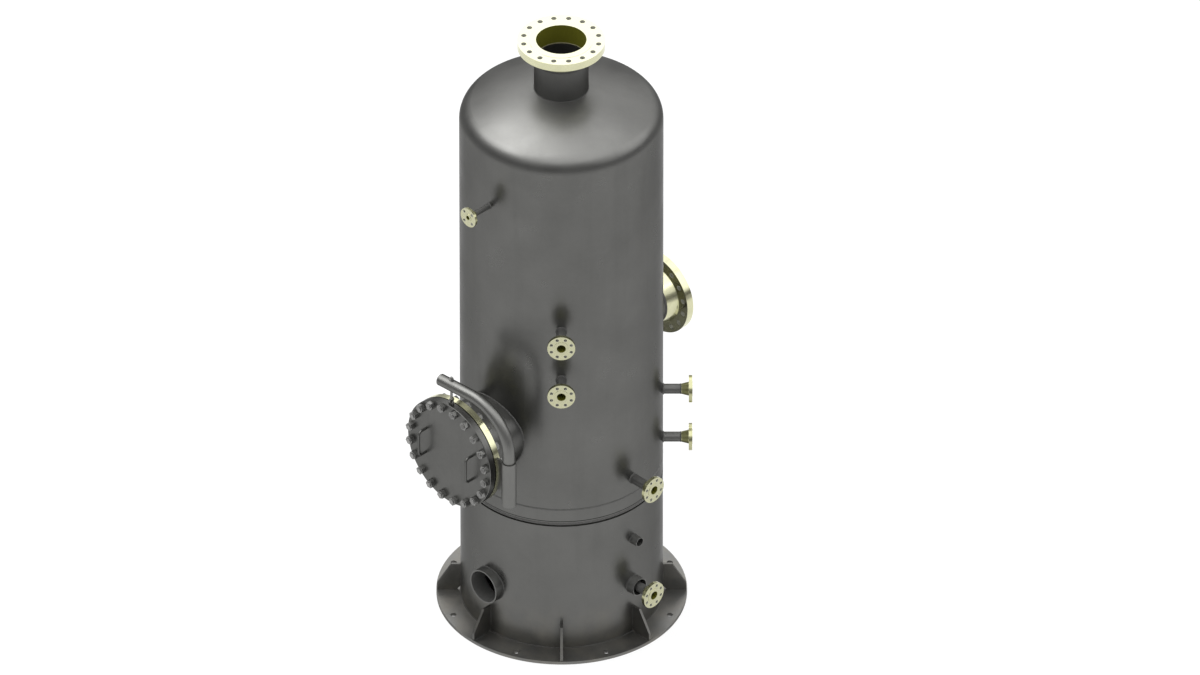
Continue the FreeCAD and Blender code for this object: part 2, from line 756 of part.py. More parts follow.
def make_manway_flanges():
    """Neck, flange, gasket and cover of the manway."""
    neck = size("neck_od")
    raised_height = size("manway_raised_height")
    count = size("manway_bolt_count")
    pipe_in_plate("manway_neck", manway_face - size("neck_setback"), neck, size("neck_wall"),
                  manway_azimuth, manway_level, vessel_cavity, shell_openings)

    body = new_body("manway_flange")
    bore = neck / 2 + size("neck_clearance")
    hub_end = manway_face - size("manway_hub_length")
    step = manway_face - raised_height
    hub_small = (bore + manway_hub) / 2
    sketch = new_sketch(body, "section", "XZ_Plane")
    add_outline(sketch, [
        (hub_end, bore), (manway_face, bore), (manway_face, raised_radius),
        (step, raised_radius), (step, manway_rim), (manway_back, manway_rim),
        (manway_back, manway_hub), (hub_end, hub_small)])
    turn(body, sketch, "H_Axis")
    drill_ring(body, "YZ_Plane", step, size("manway_flange_thickness"), stud_radius * 2,
               stud_hole, count)
    place(body, manway_azimuth, manway_level)
    finish(body, "manway_flange")

    gasket = tube_along_x("manway_gasket", manway_face, cover_back, raised_radius * 2,
                          neck + size("gasket_edge") * 2)
    place(gasket, manway_azimuth, manway_level)
    finish(gasket, "manway_gasket")

    cover = new_body("manway_cover")
    chamfer = size("cover_chamfer")
    step = cover_back + raised_height
    sketch = new_sketch(cover, "section", "XZ_Plane")
    add_outline(sketch, [
        (cover_back, ZERO), (cover_front, ZERO), (cover_front, manway_rim - chamfer),
        (cover_front - chamfer, manway_rim), (step, manway_rim), (step, raised_radius),
        (cover_back, raised_radius)])
    turn(cover, sketch, "H_Axis")
    drill_ring(cover, "YZ_Plane", cover_front, size("cover_thickness"), stud_radius * 2,
               stud_hole, count)
    place(cover, manway_azimuth, manway_level)
    finish(cover, "manway_cover")


def ring_seat():
    """Where the first stud of the manway lies, across and up from the manway's axis."""
    half_pitch = as_size(FULL_TURN / 2) / size("manway_bolt_count")
    return (stud_radius * cosine(half_pitch), stud_radius * sine(half_pitch))


def make_studs():
    """The studs, one group of separate solids."""
    body = new_body("manway_studs")
    body.AllowCompound = True
    beyond = size("nut_height") + size("stud_overhang")
    sketch = new_sketch(body, "section", "YZ_Plane", manway_back - beyond)
    add_circle(sketch, ring_seat(), size("stud_od"))
    pad = extrude(body, sketch, cover_front - manway_back + beyond * 2)
    repeat_round(body, pad, sketch, size("manway_bolt_count"))
    place(body, manway_azimuth, manway_level)
    finish(body, "manway_studs")


def hexagon(sketch, centre, flats, tilt):
    """A hexagon whose first corner points tilt degrees from the sketch's first axis."""
    corner = flats / Size(math.sqrt(3), "sqrt(3)")
    points = []
    for step in range(6):
        angle = tilt + as_size(step * FULL_TURN / 6)
        points.append((centre[0] + corner * cosine(angle), centre[1] + corner * sine(angle)))
    add_outline(sketch, points)


def make_nuts():
    """The nuts on both sides of the manway's joint, one group of separate solids."""
    half_pitch = as_size(FULL_TURN / 2) / size("manway_bolt_count")
    for name, face in (("manway_nuts_front", cover_front),
                       ("manway_nuts_back", manway_back - size("nut_height"))):
        body = new_body(name)
        body.AllowCompound = True
        sketch = new_sketch(body, "section", "YZ_Plane", face)
        hexagon(sketch, ring_seat(), size("nut_flats"), half_pitch)
        add_circle(sketch, ring_seat(), size("stud_od") + size("nut_clearance") * 2)
        pad = extrude(body, sketch, size("nut_height"))
        repeat_round(body, pad, sketch, size("manway_bolt_count"))
        place(body, manway_azimuth, manway_level)
        finish(body, name)


def make_handle(name, side):
    """A round bar bent to a grip and welded upright to the cover's front."""
    half = size("handle_length") / 2
    grip = cover_front + size("handle_standoff")
    bend = size("handle_bend")
    route = [(cover_front, half), (grip, half), (grip, -half), (cover_front, -half)]
    body = bent_bar(name, route, [bend, bend], "YZ_Plane", size("handle_od"), side=side)
    place(body, manway_azimuth, manway_level)
    finish(body, name)


def make_davit_arm():
    """A pipe bent to a mast and an arm, with a cap on its end and a hole for the eye bolt."""
    outer = size("davit_od")
    bore = outer - size("davit_wall") * 2
    foot = manway_level - size("socket_drop") + size("socket_floor")
    end = arm_to_eye + size("davit_overrun")
    arm = bent_bar("davit_arm", [(ZERO, foot), (ZERO, arm_level), (end, arm_level)],
                   [size("davit_bend")], "XY_Plane", outer, bore)
    sketch = new_sketch(arm, "eye_hole", "XY_Plane", arm_level + outer)
    add_circle(sketch, (arm_to_eye, ZERO), size("eye_shank") + size("eye_hole_clearance") * 2)
    cut_in(arm, sketch, outer * 2)
    stand_on_mast(arm)
    finish(arm, "davit_arm")

    cap = new_body("davit_arm_cap")
    thick = size("davit_cap")
    sketch = new_sketch(cap, "section", "XZ_Plane")
    sketch.AttachmentOffset.Base.y = arm_level.value
    bind(sketch, "AttachmentOffset.Base.y", arm_level)
    add_outline(sketch, [(end, ZERO), (end + thick, ZERO), (end + thick, outer / 2 - thick),
                         (end, outer / 2)], {2: (thick, 1)})
    turn(cap, sketch, "H_Axis")
    stand_on_mast(cap)
    finish(cap, "davit_arm_cap")


def make_davit_socket():
    """The socket that the mast stands in, and the plate that ties it to the manway flange."""
    foot = manway_level - size("socket_drop")
    top = foot + size("socket_length")
    floor_top = foot + size("socket_floor")
    drain = size("socket_drain") / 2
    socket = new_body("davit_socket")
    sketch = new_sketch(socket, "section", "XZ_Plane")
    add_outline(sketch, [
        (drain, foot), (socket_od / 2, foot), (socket_od / 2, top), (socket_inside / 2, top),
        (socket_inside / 2, floor_top), (drain, floor_top)])
    turn(socket, sketch, "V_Axis")
    stand_on_mast(socket)
    finish(socket, "davit_socket")

    envelope = tube_along_z("davit_socket_envelope", foot, top, socket_od)
    stand_on_mast(envelope)
    middle = size("socket_length") / 2 - size("socket_drop")
    low = middle - size("bracket_height") / 2
    high = middle + size("bracket_height") / 2
    plate = new_body("davit_bracket_plate")
    sketch = new_sketch(plate, "outline", "YZ_Plane", manway_back + size("bracket_forward"))
    add_outline(sketch, [
        (leg(manway_rim, low), low), (mast_across, low), (mast_across, high),
        (leg(manway_rim, high), high)], {3: (manway_rim, -1)})
    extrude(plate, sketch, size("bracket_thickness"))
    place(plate, manway_azimuth, manway_level)
    subtract("davit_bracket", plate, [envelope])


def make_eye_bolt():
    """The eye bolt hangs from its nut on the davit's arm, with the cover's lug in its eye."""
    radius = size("eye_radius")
    bar = size("eye_bar")
    inner = leg(radius, size("lug_thickness") / 2)
    lean = radius / inner
    below_top = size("lug_gap") + bar / 2 * lean + radius - inner
    eye_level = lug_hole_level + size("lug_hole") / 2 - below_top + radius
    nut_seat = arm_level + size("davit_od") / 2

    eye = new_body("cover_eye_bolt")
    ring = new_sketch(eye, "ring", "XY_Plane")
    add_circle(ring, (radius, ZERO), bar)
    turn(eye, ring, "V_Axis")
    shank = new_sketch(eye, "shank", "XY_Plane", radius)
    add_circle(shank, (ZERO, ZERO), size("eye_shank"))
    top = nut_seat + size("eye_nut_height") + size("eye_thread")
    extrude(eye, shank, top - eye_level - radius)
    place(eye, manway_azimuth, eye_level, along=cover_middle)
    finish(eye, "cover_eye_bolt")

    nut = new_body("eye_bolt_nut")
    sketch = new_sketch(nut, "section", "XY_Plane", nut_seat)
    hexagon(sketch, (arm_to_eye, ZERO), size("eye_nut_flats"), ZERO)
    add_circle(sketch, (arm_to_eye, ZERO), size("eye_shank") + size("nut_clearance") * 2)
    extrude(nut, sketch, size("eye_nut_height"))
    stand_on_mast(nut)
    finish(nut, "eye_bolt_nut")


def make_lug():
    """A round-topped plate on the cover's rim, with a hole for the eye."""
    thickness = size("lug_thickness")
    half = size("lug_width") / 2
    rise = manway_rim + size("lug_rise")
    lug = new_body("cover_lug")
    sketch = new_sketch(lug, "outline", "YZ_Plane", cover_middle - thickness / 2)
    add_outline(sketch, [
        (-half, leg(manway_rim, half)), (half, leg(manway_rim, half)), (half, rise),
        (ZERO, rise + half), (-half, rise)],
        {0: (manway_rim, -1), 2: (half, 1), 3: (half, 1)})
    add_circle(sketch, (ZERO, rise), size("lug_hole"))
    extrude(lug, sketch, thickness)
    place(lug, manway_azimuth, manway_level)
    finish(lug, "cover_lug")


def make_grid(name, low):
    """A rim of flat bar with parallel flat bars and one cross bar inside it."""
    height = size("grid_height")
    outer = (shell_inside - size("pad_clearance")) * 2
    inner = outer - size("grid_rim") * 2
    rim = tube_along_z(f"{name}_rim", low, low + height, outer, inner)
    disc = tube_along_z(f"{name}_disc", low, low + height, (outer + inner) / 2)
    bars = new_body(f"{name}_bars")
    bars.AllowCompound = True
    half = outer / 2
    half_bar = size("grid_bar") / 2
    first = -size("grid_pitch") * (size("grid_count") - 1) / 2
    sketch = new_sketch(bars, "bar", "XY_Plane", low)
    add_outline(sketch, [(-half, first - half_bar), (half, first - half_bar),
                         (half, first + half_bar), (-half, first + half_bar)])
    pad = extrude(bars, sketch, height)
    row = bars.newObject("PartDesign::LinearPattern", f"{name}_row")
    row.Originals = [pad]
    row.Direction = (sketch, ["V_Axis"])
    row.Length = -first.value * 2
    row.Occurrences = int(size("grid_count").value)
    bind(row, "Length", -first * 2)
    bind(row, "Occurrences", size("grid_count"))
    bars.Tip = row
    cross = new_sketch(bars, "cross", "XY_Plane", low)
    add_outline(cross, [(-half_bar, -half), (half_bar, -half), (half_bar, half),
                        (-half_bar, half)])
    extrude(bars, cross, height)
    trimmed = keep_common(f"{name}_trimmed", bars, disc)
    grid = doc.addObject("Part::MultiFuse", f"{name}_welded")
    grid.Shapes = [rim, trimmed]
    finish(grid, name)


def make_mist_eliminator():
    """A support ring, and a wire mesh pad between two grids on it."""
    ring_low = tangent_high - size("ring_drop")
    ring_high = ring_low + size("ring_thickness")
    ring = tube_along_z("pad_support_ring", ring_low, ring_high, shell_inside * 2,
                        (shell_inside - size("ring_width")) * 2)
    finish(ring, "pad_support_ring")
    make_grid("pad_grid_lower", ring_high)
    pad_low = ring_high + size("grid_height")
    pad_high = pad_low + size("pad_height")
    pad = tube_along_z("mesh_pad", pad_low, pad_high, (shell_inside - size("pad_clearance")) * 2)
    finish(pad, "mesh_pad")
    make_grid("pad_grid_upper", pad_high)


def make_deflector():
    """An upright half pipe on the shell's inside that turns the gas up and down."""
    outer = size("deflector_od")
    half = size("deflector_height") / 2
    pipe = tube_along_z("inlet_deflector_pipe", -half, half, outer,
                        outer - size("deflector_wall") * 2)
    place(pipe, size("inlet_azimuth"), inlet_level, along=shell_inside)
    finish(keep_common("inlet_deflector_trimmed", pipe, vessel_cavity), "inlet_deflector")


def make_vortex_breaker():
    """Two crossed plates under a round one, standing on the bottom head over the drain."""
    plate = size("breaker_plate")
    half = size("breaker_width") / 2
    floor = tangent_low - crown_height(ZERO, crown_inside)
    top = floor + size("breaker_height")
    body = new_body("vortex_breaker_plates")
    for name, wide, thin in (("along", half, plate / 2), ("across", plate / 2, half)):
        sketch = new_sketch(body, name, "XY_Plane", floor)
        add_outline(sketch, [(-wide, -thin), (wide, -thin), (wide, thin), (-wide, thin)])
        extrude(body, sketch, size("breaker_height"))
    roof = new_sketch(body, "roof", "XY_Plane", top)
    add_circle(roof, (ZERO, ZERO), size("breaker_width"))
    extrude(body, roof, plate)
    hollow = doc.addObject("Part::Sphere", "bottom_crown_inside")
    hollow.Radius = crown_inside.value
    bind(hollow, "Radius", crown_inside)
    hollow.Placement.Base.z = (tangent_low + crown_drop).value
    bind(hollow, "Placement.Base.z", tangent_low + crown_drop)
    finish(keep_common("vortex_breaker_trimmed", body, hollow), "vortex_breaker")


def check_and_export():
    """Write each sub-part's shape, once every object of the document is known to be sound."""
    doc.recompute()
    for item in doc.Objects:
        if "Invalid" in item.State or "Error" in item.State:
            raise RuntimeError(f"{item.Label} is not sound: {item.State}")
    os.makedirs("parts", exist_ok=True)
    for item in finished:
        shape = item.Shape
        if shape.isNull() or not shape.isValid():
            raise RuntimeError(f"{item.Label} has no valid shape")
    for item in finished:
        item.Shape.exportStep(f"parts/{item.Label}.step")
        print(item.Label, len(item.Shape.Solids), round(item.Shape.Volume))


dished_head("top_head", tangent_high, 1, size("large_pipe_od"))
dished_head("bottom_head", tangent_low, -1, size("small_pipe_od"))
make_side_nozzles()
make_gas_outlet()
make_drain()
make_skirt()
for gusset_number in range(GUSSET_COUNT):
    make_gusset(gusset_number)
make_manway_flanges()
make_studs()
make_nuts()
make_handle("cover_handle_left", -size("handle_spacing") / 2)
make_handle("cover_handle_right", size("handle_spacing") / 2)
make_davit_arm()
make_davit_socket()
make_eye_bolt()
make_lug()
subtract("shell", tube_along_z("shell_rolled", seam_low, seam_high, vessel_radius * 2,
                               shell_inside * 2), shell_openings)
make_mist_eliminator()
make_deflector()
make_vortex_breaker()
check_and_export()
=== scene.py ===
import math

import bmesh
import bpy
from mathutils import Matrix, Vector


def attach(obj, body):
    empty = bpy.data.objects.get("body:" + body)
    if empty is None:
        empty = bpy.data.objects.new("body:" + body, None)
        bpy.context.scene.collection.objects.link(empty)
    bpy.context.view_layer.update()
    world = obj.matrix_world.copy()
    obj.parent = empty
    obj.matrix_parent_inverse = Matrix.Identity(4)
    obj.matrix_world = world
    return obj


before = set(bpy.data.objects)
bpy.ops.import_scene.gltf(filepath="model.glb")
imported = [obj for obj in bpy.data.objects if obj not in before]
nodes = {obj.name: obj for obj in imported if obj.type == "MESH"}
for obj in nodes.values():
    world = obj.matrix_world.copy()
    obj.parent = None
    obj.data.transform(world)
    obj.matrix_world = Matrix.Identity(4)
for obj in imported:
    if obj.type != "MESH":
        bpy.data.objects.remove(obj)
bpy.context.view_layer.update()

scene = bpy.context.scene

# Sizes in metres, azimuths in degrees from +X, as on the drum itself.
VESSEL_R = 0.605
TANGENT_HIGH = 3.450
SEAM_LOW = 1.030
SEAM_HIGH = 3.370
CROWN_R = 1.210
KNUCKLE_R = 0.121
SKIRT_TOP = 0.9067
BASE_TOP = 0.020
LARGE_PIPE_R = 0.16195
SMALL_PIPE_R = 0.03015
TAP_PIPE_R = 0.0167
NECK_R = 0.242
CROWN_DROP = math.sqrt((CROWN_R - KNUCKLE_R) ** 2 - (VESSEL_R - KNUCKLE_R) ** 2)

LARGE_FLANGE_LENGTH = 0.130
SMALL_DISC = 0.0235
MANWAY_RAISED_R = 0.292
MANWAY_BORE_R = 0.2423
ACCESS_R = 0.10955
ACCESS_BORE_R = 0.10135
SLEEVE_R = 0.05715
VENT_LEVEL = 0.694
JOINT_LEVEL = 0.9270

# Nozzle: azimuth, height of its axis, distance of its face, pipe radius, length of its flange.
SIDE_NOZZLES = {
    "gas_inlet": (45, 1.785, 0.852, LARGE_PIPE_R, LARGE_FLANGE_LENGTH),
    "pressure_tap": (225, 3.113, 0.780, TAP_PIPE_R, 0.062),
    "level_gauge_lower": (270, 1.976, 0.780, SMALL_PIPE_R, 0.070),
    "level_gauge_upper": (270, 2.326, 0.780, SMALL_PIPE_R, 0.070),
    "level_switch_lower": (0, 1.135, 0.780, SMALL_PIPE_R, 0.070),
    "level_switch_upper": (0, 1.485, 0.780, SMALL_PIPE_R, 0.070),
    "utility": (315, 1.135, 0.780, SMALL_PIPE_R, 0.070),
    "drain": (315, 0.365, 0.780, SMALL_PIPE_R, 0.070),
}
# For a pipe radius: its flange's raised face, bore, and bolt circle, hole and number.
FLANGES = {
    LARGE_PIPE_R: (0.1905, 0.14925, (0.2254, 0.0159, 16)),
    SMALL_PIPE_R: (0.04605, 0.02625, (0.0635, 0.0095, 8)),
    TAP_PIPE_R: (0.0254, 0.0133, (0.04445, 0.0095, 4)),
}
# Azimuth and height of the axis.
MANWAY = (225, 1.485)
ACCESS = (225, 0.368)
SLEEVE = (315, 0.365)
OUTLET_FACE = 4.013


def crown_level(radius):
    """Height of the top head's outside at a distance from the axis."""
    return TANGENT_HIGH + math.sqrt(CROWN_R ** 2 - radius ** 2) - CROWN_DROP


def on_azimuth(azimuth, level, distance=0.0):
    """A frame whose X axis points out of the drum at an azimuth."""
    return (Matrix.Rotation(math.radians(azimuth), 4, "Z")
            @ Matrix.Translation((distance, 0, level)))


# Finishes


class Finish:
    """A material of shader nodes, with short words for the nodes that the finishes use."""

    def __init__(self, name, colour, roughness, metallic=0.0):
        self.material = bpy.data.materials.new(name)
        self.material.use_nodes = True
        self.tree = self.material.node_tree
        self.shader = self.tree.nodes["Principled BSDF"]
        self.shader.inputs["Base Color"].default_value = (*colour, 1)
        self.shader.inputs["Roughness"].default_value = roughness
        self.shader.inputs["Metallic"].default_value = metallic
        self.place = self.add("ShaderNodeTexCoord").outputs["Object"]

    def add(self, kind, settings=None, **sockets):
        node = self.tree.nodes.new(kind)
        for key, value in (settings or {}).items():
            setattr(node, key, value)
        for key, value in sockets.items():
            self.feed(node.inputs[int(key[1:]) if key[0] == "_" else key.replace("_", " ")],
                      value)
        return node

    def feed(self, socket, value):
        if isinstance(value, bpy.types.NodeSocket):
            self.tree.links.new(value, socket)
        else:
            socket.default_value = value

    def turned(self, matrix):
        """Read the finish in a frame of its own, such as a flange's."""
        back = matrix.inverted()
        mapping = self.add("ShaderNodeMapping", Vector=self.place,
                           Location=back.to_translation(), Rotation=back.to_euler())
        self.place = mapping.outputs["Vector"]

    def stretched(self, x, y, z):
        return self.add("ShaderNodeMapping", Vector=self.place,
                        Scale=(x, y, z)).outputs["Vector"]

    def noise(self, scale, detail=3.0, rough=0.55, place=None):
        return self.add("ShaderNodeTexNoise", Vector=place or self.place, Scale=scale,
                        Detail=detail, Roughness=rough).outputs["Fac"]

    def cells(self, scale, place=None):
        return self.add("ShaderNodeTexVoronoi", Vector=place or self.place,
                        Scale=scale).outputs["Distance"]

    def span(self, value, low, high, to_low=0.0, to_high=1.0):
        """Stretch the part of a value between low and high, and hold it beyond."""
        node = self.add("ShaderNodeMapRange", {"clamp": True}, Value=value)
        for number, bound in zip((1, 2, 3, 4), (low, high, to_low, to_high)):
            node.inputs[number].default_value = bound
        return node.outputs["Result"]

    def math(self, operation, first, second=0.0):
        return self.add("ShaderNodeMath", {"operation": operation}, _0=first,
                        _1=second).outputs["Value"]

    def axes(self, place=None):
        return self.add("ShaderNodeSeparateXYZ", Vector=place or self.place).outputs

    def square(self, side, up):
        """Square of the distance from a frame's X axis."""
        return self.math("ADD", self.math("MULTIPLY", side, side),
                         self.math("MULTIPLY", up, up))

    def blend(self, share, first, second, kind="MIX"):
        """Mix two colours; each is a colour or a socket."""
        node = self.add("ShaderNodeMix", {"data_type": "RGBA", "blend_type": kind})
        self.feed(node.inputs[0], share)
        for number, colour in ((6, first), (7, second)):
            self.feed(node.inputs[number],
                      colour if isinstance(colour, bpy.types.NodeSocket) else (*colour, 1))
        return node.outputs[2]

    def rise(self, height, strength, distance, below=None):
        """A bump; below is the normal of a coarser one."""
        node = self.add("ShaderNodeBump", Height=height, Strength=strength,
                        Distance=distance)
        if below is not None:
            self.feed(node.inputs["Normal"], below)
        return node.outputs["Normal"]

    def edges(self, width):
        """1 on sharp edges, from the difference between the rounded and the true normal."""
        rounded = self.add("ShaderNodeBevel", {"samples": 4}, Radius=width).outputs["Normal"]
        true = self.add("ShaderNodeNewGeometry").outputs["Normal"]
        match = self.add("ShaderNodeVectorMath", {"operation": "DOT_PRODUCT"}, _0=rounded,
                         _1=true).outputs["Value"]
        return self.span(match, 0.995, 0.80)

    def done(self, colour=None, roughness=None, normal=None, edge_tint=(1, 1, 1), coat=0.0,
             coat_roughness=0.1):
        for name, value in (("Base Color", colour), ("Roughness", roughness),
                            ("Normal", normal)):
            if value is not None:
                self.feed(self.shader.inputs[name], value)
        self.shader.inputs["Specular Tint"].default_value = (*edge_tint, 1)
        self.shader.inputs["Coat Weight"].default_value = coat
        self.shader.inputs["Coat Roughness"].default_value = coat_roughness
        return self.material


def dark_coat(name, colour=(0.130, 0.130, 0.125), roughness=0.30, metallic=0.90,
              dust=1.0, wave=1.0, grain=1.0, edge=0.0025, wear=0.55, mottled=0.25,
              streaked=0.30, rim=0.35, painted_head_light=1.0, painted_crease=None, bore=None):
    """The drum's satin dark coat: slow changes of tone, orange peel, dust near the floor.

    crown paints light on the head: it makes the head's colour lighter by that factor.
    toe gives the foot and top heights of a near-black band of painted shade, standing in
    for the shade in a crease, and bore the frame of a collar with the radius inside which
    the coat is matt.
    """
    finish = Finish(name, colour, roughness, metallic)
    cloud = finish.noise(2.2, 4)
    mottle = finish.noise(34, 3)
    streak = finish.noise(9, 3, place=finish.stretched(1, 1, 0.08))
    tone = finish.blend(finish.span(cloud, 0.3, 0.7), [c * 0.92 for c in colour],
                        [c * 1.08 for c in colour])
    tone = finish.blend(finish.span(mottle, 0.35, 0.7, 0, mottled), tone,
                        [c * 1.16 for c in colour])
    tone = finish.blend(finish.span(streak, 0.52, 0.75, 0, streaked), tone,
                        [c * 0.80 for c in colour])
    specks = finish.span(finish.cells(420), 0.16, 0.05)
    specks = finish.math("MULTIPLY", specks, finish.span(finish.noise(14, 2), 0.5, 0.7))
    specks = finish.math("MULTIPLY", specks, finish.span(finish.axes()[2], 1.1, 0.2))
    tone = finish.blend(finish.math("MULTIPLY", specks, 0.14 * dust), tone,
                        (0.24, 0.235, 0.215))
    low = finish.span(finish.axes()[2], 0.34, 0.0)
    low = finish.math("MULTIPLY", low, finish.span(finish.noise(7, 5), 0.35, 0.75, 0, 0.5))
    tone = finish.blend(finish.math("MULTIPLY", low, dust), tone, (0.27, 0.25, 0.21))
    above = finish.span(finish.axes()[2], TANGENT_HIGH, 3.56)
    # Painted light: the head above the tangent line is made lighter by the given factor.
    if painted_head_light != 1.0:
        lighter = finish.blend(1.0, tone, (painted_head_light, painted_head_light, painted_head_light), "MULTIPLY")
        tone = finish.blend(above, tone, lighter)
    # Painted shade: a near-black band between the two given heights, standing in for a crease's
    # shade.
    if painted_crease:
        height = finish.axes()[2]
        crease = finish.math("MULTIPLY", finish.span(height, painted_crease[0], painted_crease[0] + 0.0006),
                             finish.span(height, painted_crease[1], painted_crease[1] - 0.0006))
        tone = finish.blend(crease, tone, (0.020, 0.020, 0.019))
    worn = finish.math("MULTIPLY", finish.edges(edge),
                       finish.span(finish.noise(60, 4), 0.45, 0.62, 0, wear))
    tone = finish.blend(worn, tone, (0.34, 0.34, 0.33))
    if bore:
        facing, radius = bore
        place = finish.place
        finish.turned(facing)
        out, side, up = finish.axes()
        finish.place = place
        inside = finish.span(finish.math("SQRT", finish.square(side, up)), radius + 0.0012,
                             radius + 0.0006)
        tone = finish.blend(inside, tone, (0.080, 0.080, 0.077))
        finish.feed(finish.shader.inputs["Metallic"],
                    finish.span(inside, 0, 1, metallic, 0.05))
    sheen = finish.span(finish.noise(5, 4), 0.3, 0.7, roughness - 0.04, roughness + 0.06)
    sheen = finish.math("ADD", sheen, finish.span(streak, 0.5, 0.8, 0, 0.05))
    sheen = finish.math("ADD", sheen, finish.math("MULTIPLY", low, 0.35))
    sheen = finish.math("ADD", sheen, finish.math("MULTIPLY", above, 0.07))
    plate = finish.rise(finish.noise(3.1, 2), 0.35 * wave, 0.004)
    skin = finish.rise(finish.noise(310, 2), 0.05 * grain, 0.0005, plate)
    skin = finish.rise(finish.noise(95, 2), 0.04 * grain, 0.0010, skin)
    finish.shader.inputs["Specular IOR Level"].default_value = 0.35
    return finish.done(tone, sheen, skin, (rim, rim, rim))


def flange_coat(name, facing, raised, bore, ends=(-1.0, 9.0), bolts=None, metallic=0.97,
                colour=(0.63, 0.625, 0.42), face_colour=(0.74, 0.735, 0.54), polish=0.09,
                dull_shaded_hub=False):
    """Pale yellow finish of the flanges, with the turned grooves of face, rim and hub.

    ends are the hub's foot and the face along the axis, bolts the radius of the bolt
    circle, the radius of a hole and their number. A dull hub is rougher than its disc and
    painted darker as shade.
    """
    foot, face = ends
    finish = Finish(name, colour, 0.26, metallic)
    finish.turned(facing)
    out, side, up = finish.axes()
    square = finish.square(side, up)
    radius = finish.math("SQRT", square)
    cloud = finish.noise(11, 4)
    tone = finish.blend(finish.span(cloud, 0.3, 0.7), [c * 0.94 for c in colour],
                        [c * 1.05 for c in colour])
    red, green, blue = colour
    tone = finish.blend(finish.span(finish.noise(75, 3), 0.55, 0.8, 0, 0.35), tone,
                        (red * 1.02, green * 0.98, blue * 0.83))
    tone = finish.blend(finish.span(out, face - 0.0030, face - 0.0022), tone, face_colour)
    # Painted shade: a dull hub's cone is painted darker than its disc; below, it is also made
    # rougher.
    if dull_shaded_hub:
        hub = finish.math("MULTIPLY", finish.span(out, face - SMALL_DISC,
                                                  face - SMALL_DISC - 0.0025),
                          finish.span(out, foot + 0.0050, foot + 0.0100))
        tone = finish.blend(hub, tone, (red * 0.55, green * 0.55, blue * 0.45))
    # Painted shade: inside the bore the coat is a dark saturated olive, standing in for the
    # shade there.
    inside = finish.span(radius, bore + 0.0012, bore + 0.0006)
    tone = finish.blend(inside, tone, (0.15, 0.15, 0.018))
    # Painted highlight: a lighter ring at the foot of the bore, where the flange meets its
    # pipe.
    root = finish.math("MULTIPLY", inside, finish.span(out, foot + 0.0070, foot + 0.0060))
    tone = finish.blend(root, tone, (0.46, 0.44, 0.27))
    if bolts:
        circle, hole, count = bolts
        pitch = 2 * math.pi / count
        turn = finish.math("MULTIPLY", finish.math("ARCTAN2", up, side), 1 / pitch)
        turn = finish.math("SUBTRACT", finish.math("FRACT", turn), 0.5)
        swing = finish.math("COSINE", finish.math("MULTIPLY", turn, pitch))
        away = finish.math("ADD", square, circle ** 2)
        away = finish.math("SUBTRACT", away, finish.math(
            "MULTIPLY", finish.math("MULTIPLY", radius, swing), 2 * circle))
        drilled = finish.span(finish.math("SQRT", away), hole + 0.0012, hole + 0.0006)
        tone = finish.blend(drilled, tone, (0.44, 0.44, 0.38))
        inside = finish.math("MAXIMUM", inside, drilled)
    finish.feed(finish.shader.inputs["Metallic"],
                finish.span(inside, 0, 1, metallic, 0.30))
    worn = finish.math("MULTIPLY", finish.edges(0.0018),
                       finish.span(finish.noise(85, 4), 0.42, 0.6, 0, 0.6))
    tone = finish.blend(worn, tone, (0.86, 0.85, 0.74))
    on_face = finish.span(radius, raised, raised - 0.0005)
    grooves = finish.math("SINE", finish.math("MULTIPLY", radius, 2 * math.pi / 0.0016))
    turning = finish.math("SINE", finish.math("MULTIPLY", out, 2 * math.pi / 0.0011))
    sheen = finish.span(finish.noise(23, 4), 0.3, 0.7, polish, polish + 0.06)
    sheen = finish.math("ADD", sheen, finish.math("MULTIPLY", on_face, 0.08))
    if dull_shaded_hub:
        sheen = finish.math("ADD", sheen, finish.math("MULTIPLY", hub, 0.20))
    skin = finish.rise(finish.math("MULTIPLY", grooves, on_face), 0.04, 0.0002)
    skin = finish.rise(turning, 0.006, 0.0001, skin)
    skin = finish.rise(finish.noise(40, 2), 0.008, 0.0005, skin)
    return finish.done(tone, sheen, skin)


def thread_finish(name, facing, pitch, colour=(0.25, 0.25, 0.245)):
    """Oiled steel with a thread across the given axis, with painted shade in its grooves
    and a painted highlight on its crests.
    """
    finish = Finish(name, colour, 0.38, 0.9)
    finish.turned(facing)
    out, side, up = finish.axes()
    turn = finish.math("ARCTAN2", up, side)
    helix = finish.math("SINE", finish.math("ADD", turn, finish.math(
        "MULTIPLY", out, 2 * math.pi / pitch)))
    # Painted shade and highlight: darker in the thread's grooves, lighter on its crests.
    tone = finish.blend(finish.span(helix, -1, 1), [c * 0.55 for c in colour],
                        [c * 1.3 for c in colour])
    tone = finish.blend(finish.span(finish.noise(120, 3), 0.5, 0.8, 0, 0.5), tone,
                        (0.13, 0.10, 0.075))
    return finish.done(tone, finish.span(finish.noise(60, 3), 0.3, 0.7, 0.30, 0.48),
                       finish.rise(helix, 0.8, 0.0008))


